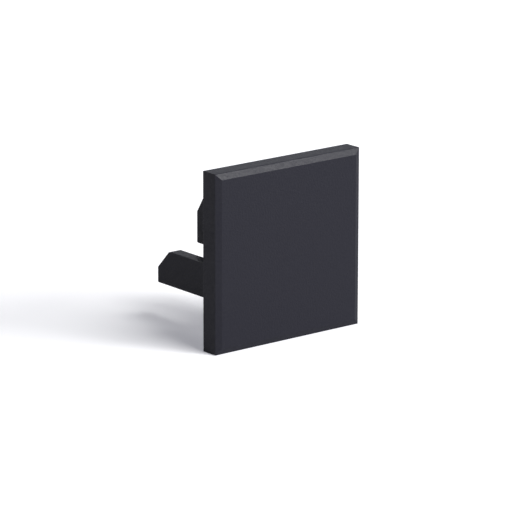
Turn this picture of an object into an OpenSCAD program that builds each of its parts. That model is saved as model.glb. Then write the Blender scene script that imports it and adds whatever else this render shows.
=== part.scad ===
// Profile end cap: a square cover plate with a bevelled show face, two side pegs and a centre blade.
// It is one moulding. The pegs are pressed into the open end of a profile until the plate seats on it.
// The origin is on the seat plane, where the profile's long axis meets it.
// The show face looks along -Y, the pegs point along +Y and +Z is up.

/* [Cover plate] */
// Width of the plate, the same as the profile's
plate_w = 20; // [18:0.5:30]
// Height of the plate, the same as the profile's
plate_h = 20; // [18:0.5:30]
// Thickness of the plate, from the show face to the seat
plate_t = 2.4; // [1.8:0.1:4]
// Radius of the plate's four upright corners
corner_r = 0.1; // [0.05:0.05:1.5]
// Width of the bevel across the show face
bevel_w = 0.7; // [0.4:0.05:2]
// Depth of the bevel behind the show face
bevel_d = 0.31; // [0.1:0.01:0.6]

/* [Side pegs] */
// Width over the outer faces of the two side pegs
peg_span = 12.5; // [10:0.1:15]
// Thickness of a side peg
peg_t = 1.55; // [1:0.05:2.4]
// Height of a side peg
peg_h = 3.9; // [3.2:0.1:6]
// How far a side peg's underside lies below the profile's axis
peg_drop = 5.7; // [4:0.1:7]
// Height of the lead-in ramp on a side peg
peg_ramp_h = 2.2; // [1:0.1:2.4]
// Length of the lead-in ramp on a side peg
peg_ramp_l = 2.1; // [1:0.1:4]

/* [Centre blade] */
// Thickness of the blade
blade_t = 1.55; // [1:0.05:2.4]
// Height of the blade
blade_h = 5.7; // [4:0.1:8]
// How far the blade's underside lies below the profile's axis
blade_drop = 2.1; // [0:0.1:4]
// Height of the lead-in ramp on the blade
blade_ramp_h = 2.2; // [1:0.1:3]
// Length of the lead-in ramp on the blade
blade_ramp_l = 1.4; // [1:0.1:4]

/* [Insertion] */
// Length of the pegs and the blade behind the seat
peg_l = 12.9; // [8:0.1:20]
// Radius at the lower corner of each tip
tip_r = 0.3; // [0.15:0.05:0.6]
// Radius at both ends of each ramp
ramp_r = 0.5; // [0.2:0.05:0.6]
// Fillet where the pegs and the blade grow out of the seat
root_r = 0.3; // [0.1:0.05:0.6]

/* [Edges] */
// Radius that breaks the plate's edges and the long edges of the pegs
edge_r = 0.1; // [0.05:0.01:0.2]

/* [Hidden] */
$fn = 48;
// Depth to which a peg reaches back into the plate, so that the two are one solid
embed = plate_t / 2;

function unit(v) = v / norm(v);

// The tangent points and the centre of the arc that rounds corner i of a counterclockwise outline
function corner_arc(points, radii, i) =
    let (n = len(points),
         into = unit(points[i] - points[(i + n - 1) % n]),
         out = unit(points[(i + 1) % n] - points[i]),
         reach = radii[i] * tan(acos(into * out) / 2),
         start = points[i] - into * reach)
    [start, points[i] + out * reach, start + [-into.y, into.x] * radii[i]];

// A convex, counterclockwise outline whose corners are true arcs of the given radii
module rounded_outline(points, radii) {
    arcs = [for (i = [0:len(points) - 1]) corner_arc(points, radii, i)];
    polygon([for (arc = arcs, end = [0, 1]) arc[end]]);
    for (i = [0:len(points) - 1])
        if (radii[i] > 0)
            translate(arcs[i][2]) circle(r = radii[i]);
}

// A rectangle about the origin, its four corners rounded
module rounded_rectangle(w, h, r) {
    rounded_outline(
        [[-w / 2, -h / 2], [w / 2, -h / 2], [w / 2, h / 2], [-w / 2, h / 2]],
        [r, r, r, r]);
}

// Depth section of the plate: across one of its sides in x, from the show face to the seat in y
module plate_section(size) {
    side = size / 2;
    face = side - bevel_w;
    shoulder = bevel_d - plate_t;
    rounded_outline(
        [[-face, -plate_t], [face, -plate_t], [side, shoulder], [side, 0], [-side, 0], [-side, shoulder]],
        [for (corner = [1:6]) edge_r]);
}

// The plate is what its two depth sections and its front outline have in common, so the bevels mitre
module plate() {
    intersection() {
        translate([0, 0, -plate_h / 2]) linear_extrude(plate_h) plate_section(plate_w);
        translate([-plate_w / 2, 0, 0]) rotate([0, 90, 0]) linear_extrude(plate_w) plate_section(plate_h);
        rotate([90, 0, 0]) linear_extrude(plate_t) rounded_rectangle(plate_w, plate_h, corner_r);
    }
}

// Side view of a peg: insertion depth in x, height in y, with a ramp on top of its tip
module peg_side(h, ramp_h, ramp_l) {
    rounded_outline(
        [[-embed, 0], [peg_l, 0], [peg_l, h - ramp_h], [peg_l - ramp_l, h], [-embed, h]],
        [0, tip_r, ramp_r, ramp_r, 0]);
}

// Plan view of a peg: thickness in x, insertion depth in y, with the tip's corners broken
module peg_plan(t) {
    rounded_outline(
        [[-t / 2, -embed], [t / 2, -embed], [t / 2, peg_l], [-t / 2, peg_l]],
        [0, 0, edge_r, edge_r]);
}

// Section of the concave fillet: outwards from a peg's side in x, up from the seat in y
module fillet_section() {
    overlap = edge_r / 2;
    difference() {
        translate([-overlap, -embed]) square([root_r + overlap, root_r + embed]);
        translate([root_r, root_r]) circle(r = root_r);
    }
}

// The fillet all round a peg's root: a straight run along each side and a turned corner after it
module root_fillet(t, h) {
    quadrants = [[1, 1], [-1, 1], [-1, -1], [1, -1]];
    rotate([-90, 0, 0])
        for (i = [0:3])
            translate([quadrants[i].x * (t / 2 - edge_r), quadrants[i].y * (h / 2 - edge_r), 0])
                rotate([0, 0, 90 * i]) {
                    rotate_extrude(angle = 90) translate([edge_r, 0]) fillet_section();
                    rotate([90, 0, 0]) linear_extrude((i % 2 == 0 ? h : t) - 2 * edge_r)
                        translate([edge_r, 0]) fillet_section();
                }
}

// One peg, centred on x = 0, with its underside at z = 0
module peg(t, h, ramp_h, ramp_l) {
    intersection() {
        translate([-t / 2, 0, 0]) rotate([90, 0, 90]) linear_extrude(t) peg_side(h, ramp_h, ramp_l);
        linear_extrude(h) peg_plan(t);
        translate([0, peg_l, h / 2]) rotate([90, 0, 0]) linear_extrude(peg_l + embed)
            rounded_rectangle(t, h, edge_r);
    }
    translate([0, 0, h / 2]) root_fillet(t, h);
}

module side_pegs() {
    for (side = [-1, 1])
        translate([side * (peg_span - peg_t) / 2, 0, -peg_drop])
            peg(peg_t, peg_h, peg_ramp_h, peg_ramp_l);
}

module centre_blade() {
    translate([0, 0, -blade_drop]) peg(blade_t, blade_h, blade_ramp_h, blade_ramp_l);
}

module end_cap() {
    color("#2c2c31") {
        plate();
        side_pegs();
        centre_blade();
    }
}

end_cap();
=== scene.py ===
"""A profile end cap on a pale studio floor.

The cap is one moulding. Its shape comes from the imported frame, in metres: the seat is at y = 0, the show
face looks along -Y, the pegs point along +Y and +Z is up. This file gives it the finish of a moulded
polyamide part, and sets the floor, the lamps and the camera.
"""

import math

import bmesh
import bpy
from bpy.props import FloatProperty, FloatVectorProperty, PointerProperty
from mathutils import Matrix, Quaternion, Vector


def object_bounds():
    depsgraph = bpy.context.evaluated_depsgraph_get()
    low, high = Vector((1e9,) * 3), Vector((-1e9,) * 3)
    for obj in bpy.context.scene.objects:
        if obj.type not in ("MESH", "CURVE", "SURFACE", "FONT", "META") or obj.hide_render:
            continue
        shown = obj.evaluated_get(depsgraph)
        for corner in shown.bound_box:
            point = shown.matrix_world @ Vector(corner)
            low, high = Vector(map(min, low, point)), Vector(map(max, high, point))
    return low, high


bl_info = {
    "name": "Profile end cap",
    "version": (1, 0, 0),
    "blender": (4, 5, 0),
    "location": "3D View > Sidebar > End cap",
    "description": "Finishes a moulded end cap and sets it in a plain studio",
    "category": "Object",
}

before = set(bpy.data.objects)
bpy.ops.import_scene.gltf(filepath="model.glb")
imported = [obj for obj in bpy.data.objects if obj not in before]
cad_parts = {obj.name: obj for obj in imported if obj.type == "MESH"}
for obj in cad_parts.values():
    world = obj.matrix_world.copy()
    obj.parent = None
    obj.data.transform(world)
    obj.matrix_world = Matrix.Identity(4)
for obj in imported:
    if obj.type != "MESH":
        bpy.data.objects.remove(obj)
CAD_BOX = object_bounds()
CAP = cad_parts["end_cap"]

MM = 0.001
MICRON = 0.000001

POLYAMIDE_IOR = 1.53

# The grain's noise has finer layers over its first one, and each has this share of the last one's height
FINER_LAYERS = 2
LAYER_SHARE = 0.6

# The noise lies almost everywhere between its value in a deep pit and its value on a high crest
NOISE_IN_PIT = 0.3
NOISE_ON_CREST = 0.7

FLOOR_CORNERS = 64

# The camera's sensor, and how near and how far it sees
SENSOR_WIDTH_MM = 36
NEAREST_SEEN = 10 * MM
FARTHEST_SEEN = 10

# White lamps: name, azimuth and elevation seen from the cap in degrees, distance and width in metres, and
# power in watts. Azimuth 0 is straight in front of the show face and 90 is on its right.
LAMPS = (
    ("key_softbox", 12, 54, 2.4, 1.2, 37.6),
    ("low_softbox", 33, 22, 0.6, 0.3, 2.87),
    ("back_softbox", 150, 35, 2.4, 1.2, 6.8),
    ("rear_softbox", 180, 11, 2.4, 1.0, 20.6),
)


def linear(hex_colour):
    """An sRGB hex colour as linear red, green and blue."""
    channels = (int(hex_colour[start:start + 2], 16) / 255 for start in (1, 3, 5))
    return tuple(
        value / 12.92 if value <= 0.04045 else ((value + 0.055) / 1.055) ** 2.4 for value in channels)


def direction(azimuth, elevation):
    """Unit vector from the cap towards a place round it. Azimuth 0 is in front of the show face."""
    level = math.cos(elevation)
    return Vector((math.sin(azimuth) * level, -math.cos(azimuth) * level, math.sin(elevation)))


def add_node(tree, kind, inputs=(), **settings):
    """Adds a node with its settings. An input that is another node's socket is linked, a value is set."""
    node = tree.nodes.new(kind)
    for name, value in settings.items():
        setattr(node, name, value)
    for name, value in dict(inputs).items():
        if isinstance(value, bpy.types.NodeSocket):
            tree.links.new(value, node.inputs[name])
        else:
            node.inputs[name].default_value = value
    return node


def empty_tree(owner):
    """The node tree of a material or a world, with nothing in it."""
    owner.use_nodes = True
    owner.node_tree.nodes.clear()
    return owner.node_tree


class CapFinish(bpy.types.PropertyGroup):
    """Finish of the moulding."""

    colour: FloatVectorProperty(
        name="Plastic", description="Colour of the dyed plastic",
        default=linear("#26262e"), subtype="COLOR", size=3, min=0, max=1)
    roughness: FloatProperty(
        name="Roughness", description="How blurred the gloss of the moulded surface is",
        default=0.25, min=0, max=1, subtype="FACTOR")
    dullness: FloatProperty(
        name="Dullness", description="Share of the gloss that the surface swallows, on average",
        default=0.805, min=0, max=1, subtype="FACTOR")
    dullness_spread: FloatProperty(
        name="Dullness spread",
        description="How much duller the pits are, and how much glossier the crests",
        default=0.06, min=0, max=0.5, subtype="FACTOR")
    grain_width: FloatProperty(
        name="Grain width", description="Width of one grain of the spark-eroded texture",
        default=0.12 * MM, min=0.02 * MM, max=1 * MM, unit="LENGTH")
    grain_height: FloatProperty(
        name="Grain height", description="Height of the spark-eroded texture, from pit to crest",
        default=10 * MICRON, min=0, max=50 * MICRON, unit="LENGTH")


class CapStage(bpy.types.PropertyGroup):
    """Floor, light and camera."""

    floor_radius: FloatProperty(
        name="Floor radius", description="Radius of the round floor",
        default=0.45, min=0.2, max=20, unit="LENGTH")
    floor_colour: FloatVectorProperty(
        name="Floor", description="Colour of the floor",
        default=linear("#fbfbfb"), subtype="COLOR", size=3, min=0, max=1)
    # Painted light: the floor's added emission has this tint, which shows in its shadows and tints them
    shade_colour: FloatVectorProperty(
        name="Shade", description="Colour of the light added to the floor, which shows in its shadows",
        default=linear("#f2f3ff"), subtype="COLOR", size=3, min=0, max=1)
    # Painted light on the floor: the lift lightens the shadow near the cap and, growing outwards, fades it
    # out
    floor_lift: FloatProperty(
        name="Floor lift", description="Light added to what is seen of the floor near the cap",
        default=0.28, min=0, max=1, subtype="FACTOR")
    rim_lift: FloatProperty(
        name="Rim lift", description="Light added to what is seen of the floor far from the cap",
        default=0.65, min=0, max=1, subtype="FACTOR")
    fade_start: FloatProperty(
        name="Fade start", description="Distance from the middle of the seat where the lift starts to grow",
        default=10 * MM, min=0, max=1, unit="LENGTH")
    fade_end: FloatProperty(
        name="Fade end", description="Distance from the middle of the seat where the lift is full",
        default=300 * MM, min=1 * MM, max=20, unit="LENGTH")
    ambient: FloatProperty(
        name="Ambient", description="Strength of the world's light on the cap",
        default=0.0, min=0, max=2)
    air_colour: FloatVectorProperty(
        name="Surroundings", description="Colour of the surroundings",
        default=linear("#f6f9ff"), subtype="COLOR", size=3, min=0, max=1)
    air_brightness: FloatProperty(
        name="Surroundings' brightness", description="Strength at which the surroundings are seen",
        default=1.1, min=0, max=2)
    azimuth: FloatProperty(
        name="Camera azimuth", description="Where the camera stands, round the cap",
        default=math.radians(-38.774), subtype="ANGLE", unit="ROTATION")
    elevation: FloatProperty(
        name="Camera elevation", description="How far the camera looks down",
        default=math.radians(15.092), subtype="ANGLE", unit="ROTATION")
    roll: FloatProperty(
        name="Camera roll", description="Turn of the camera about its own axis",
        default=math.radians(0.072), subtype="ANGLE", unit="ROTATION")
    distance: FloatProperty(
        name="Camera distance", description="From the camera to the point that it looks at",
        default=424.55 * MM, min=50 * MM, max=10, unit="LENGTH")
    aim: FloatVectorProperty(
        name="Camera aim", description="The point that the camera looks at",
        default=(-1.82 * MM, 1.12 * MM, -0.98 * MM), size=3, subtype="TRANSLATION", unit="LENGTH")
    lens: FloatProperty(
        name="Lens", description="Focal length on a 36 mm sensor",
        default=275.6, min=10, max=1000, unit="CAMERA")


def moulded_polyamide(finish):
    """Dyed polyamide from a spark-eroded injection mould.

    The craters that the sparks leave in the mould print a fine grain on the part. To the eye it breaks the
    gloss into a soft sheen with tiny sparkles, and it swallows most of it, more in its pits than on its
    crests.
    """
    material = bpy.data.materials.new("spark_textured_polyamide")
    tree = empty_tree(material)
    place = add_node(tree, "ShaderNodeTexCoord").outputs["Object"]
    # One cell of the noise holds a crest and a pit, so it is two grains wide
    noise = add_node(tree, "ShaderNodeTexNoise", {
        "Vector": place, "Scale": 1 / (2 * finish.grain_width),
        "Detail": FINER_LAYERS, "Roughness": LAYER_SHARE}).outputs["Fac"]
    bump = add_node(tree, "ShaderNodeBump", {
        "Height": noise, "Strength": 1,
        "Distance": finish.grain_height / (NOISE_ON_CREST - NOISE_IN_PIT)}).outputs["Normal"]
    glossy = add_node(tree, "ShaderNodeBsdfPrincipled", {
        "Base Color": (*finish.colour, 1), "Roughness": finish.roughness, "IOR": POLYAMIDE_IOR,
        "Normal": bump})
    dull = add_node(tree, "ShaderNodeBsdfDiffuse", {"Color": (*finish.colour, 1), "Normal": bump})
    dullness = add_node(tree, "ShaderNodeMapRange", {
        "Value": noise, "From Min": NOISE_IN_PIT, "From Max": NOISE_ON_CREST,
        "To Min": finish.dullness + finish.dullness_spread,
        "To Max": finish.dullness - finish.dullness_spread}).outputs["Result"]
    skin = add_node(tree, "ShaderNodeMixShader", {
        0: dullness, 1: glossy.outputs["BSDF"], 2: dull.outputs["BSDF"]})
    add_node(tree, "ShaderNodeOutputMaterial", {"Surface": skin.outputs["Shader"]})
    return material


def seen_white(tree):
    """Socket that is 1 for what the camera sees, directly, in a reflection or through glass, and else 0."""
    path = add_node(tree, "ShaderNodeLightPath").outputs
    seen = path["Is Camera Ray"]
    for ray in ("Is Glossy Ray", "Is Transmission Ray"):
        either = add_node(tree, "ShaderNodeMath", {0: seen, 1: path[ray]}, operation="MAXIMUM")
        seen = either.outputs["Value"]
    return seen


def matt_floor(stage):
    """A matt white table top: plain and bright, with no gloss of its own.

    Painted light lifts it to white where it is seen, for the camera and reflections only. It grows with the
    distance from the cap, so that the painted light fades the shadow out and the rim can't be seen.
    """
    material = bpy.data.materials.new("matt_white_table_top")
    tree = empty_tree(material)
    place = add_node(tree, "ShaderNodeTexCoord").outputs["Object"]
    away = add_node(tree, "ShaderNodeVectorMath", {0: place}, operation="LENGTH").outputs["Value"]
    # Painted light: the emission grows from the floor lift to the rim lift with the distance from the cap
    painted_lift_by_distance = add_node(tree, "ShaderNodeMapRange", {
        "Value": away, "From Min": stage.fade_start, "From Max": stage.fade_end,
        "To Min": stage.floor_lift, "To Max": stage.rim_lift}).outputs["Result"]
    lift = add_node(tree, "ShaderNodeMath", {0: seen_white(tree), 1: painted_lift_by_distance}, operation="MULTIPLY")
    top = add_node(tree, "ShaderNodeBsdfPrincipled", {
        "Base Color": (*stage.floor_colour, 1), "Roughness": 1, "Specular IOR Level": 0,
        "Emission Color": (*stage.shade_colour, 1), "Emission Strength": lift.outputs["Value"]})
    add_node(tree, "ShaderNodeOutputMaterial", {"Surface": top.outputs["BSDF"]})
    return material


def lay_floor(stage):
    """The round floor, level with the lowest edge of the cap."""
    shape = bmesh.new()
    bmesh.ops.create_circle(shape, cap_ends=True, segments=FLOOR_CORNERS, radius=stage.floor_radius)
    bmesh.ops.translate(shape, vec=(0, 0, CAD_BOX[0].z), verts=shape.verts)
    mesh = bpy.data.meshes.new("floor")
    shape.to_mesh(mesh)
    shape.free()
    mesh.materials.append(matt_floor(stage))
    floor = bpy.data.objects.new("floor", mesh)
    bpy.context.scene.collection.objects.link(floor)


def hang_lamps():
    """The soft lamps round the cap, which face it."""
    for name, azimuth, elevation, distance, width, power in LAMPS:
        lamp = bpy.data.lights.new(name, "AREA")
        lamp.shape = "DISK"
        lamp.size = width
        lamp.energy = power
        towards = direction(math.radians(azimuth), math.radians(elevation))
        hung = bpy.data.objects.new(name, lamp)
        hung.location = towards * distance
        hung.rotation_mode = "QUATERNION"
        hung.rotation_quaternion = towards.to_track_quat("Z", "Y")
        bpy.context.scene.collection.objects.link(hung)


def light_world(stage):
    """Plain pale surroundings: they light the cap at the ambient strength, and are seen white."""
    world = bpy.data.worlds.new("pale_studio")
    tree = empty_tree(world)
    strength = add_node(tree, "ShaderNodeMapRange", {
        "Value": seen_white(tree), "To Min": stage.ambient, "To Max": stage.air_brightness})
    air = add_node(tree, "ShaderNodeBackground", {
        "Color": (*stage.air_colour, 1), "Strength": strength.outputs["Result"]})
    add_node(tree, "ShaderNodeOutputWorld", {"Surface": air.outputs["Background"]})
    bpy.context.scene.world = world


def place_camera(stage):
    """The camera, turned about its own axis by the roll."""
    camera = bpy.data.objects.new("camera", bpy.data.cameras.new("camera"))
    camera.data.sensor_width = SENSOR_WIDTH_MM
    camera.data.lens = stage.lens
    camera.data.clip_start = NEAREST_SEEN
    camera.data.clip_end = FARTHEST_SEEN
    back = direction(stage.azimuth, stage.elevation)
    camera.location = Vector(stage.aim) + back * stage.distance
    camera.rotation_mode = "QUATERNION"
    camera.rotation_quaternion = (-back).to_track_quat("-Z", "Y") @ Quaternion((0, 0, 1), stage.roll)
    bpy.context.scene.collection.objects.link(camera)
    bpy.context.scene.camera = camera


class ENDCAP_OT_finish_moulding(bpy.types.Operator):
    """Gives the moulding its plastic"""

    bl_idname = "endcap.finish_moulding"
    bl_label = "Finish the moulding"

    def execute(self, context):
        if len(CAP.material_slots) != 1:
            raise RuntimeError("the moulding should have one material slot")
        CAP.material_slots[0].material = moulded_polyamide(context.scene.cap_finish)
        return {"FINISHED"}


class ENDCAP_OT_set_stage(bpy.types.Operator):
    """Lays the floor, hangs the lamps and places the camera"""

    bl_idname = "endcap.set_stage"
    bl_label = "Set the stage"

    def execute(self, context):
        stage = context.scene.cap_stage
        if stage.fade_end <= stage.fade_start:
            raise RuntimeError("the fade of the floor has to end farther out than it starts")
        context.scene.view_settings.view_transform = "Standard"
        place_camera(stage)
        lay_floor(stage)
        hang_lamps()
        light_world(stage)
        return {"FINISHED"}


class ENDCAP_PT_sidebar(bpy.types.Panel):
    """Steps and settings of the end cap"""

    bl_label = "End cap"
    bl_idname = "ENDCAP_PT_sidebar"
    bl_space_type = "VIEW_3D"
    bl_region_type = "UI"
    bl_category = "End cap"

    def draw(self, context):
        for operator, settings in (
                (ENDCAP_OT_finish_moulding, context.scene.cap_finish),
                (ENDCAP_OT_set_stage, context.scene.cap_stage)):
            box = self.layout.box()
            for name in settings.bl_rna.properties.keys():
                if name not in ("rna_type", "name"):
                    box.prop(settings, name)
            box.operator(operator.bl_idname)


CLASSES = (CapFinish, CapStage, ENDCAP_OT_finish_moulding, ENDCAP_OT_set_stage, ENDCAP_PT_sidebar)


def register():
    """Registers the classes and their settings."""
    for cls in CLASSES:
        bpy.utils.register_class(cls)
    bpy.types.Scene.cap_finish = PointerProperty(type=CapFinish)
    bpy.types.Scene.cap_stage = PointerProperty(type=CapStage)


def unregister():
    """Takes the settings and the classes away again."""
    del bpy.types.Scene.cap_stage
    del bpy.types.Scene.cap_finish
    for cls in reversed(CLASSES):
        bpy.utils.unregister_class(cls)


def main():
    """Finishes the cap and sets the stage."""
    register()
    bpy.ops.endcap.finish_moulding()
    bpy.ops.endcap.set_stage()


if __name__ == "__main__":
    main()
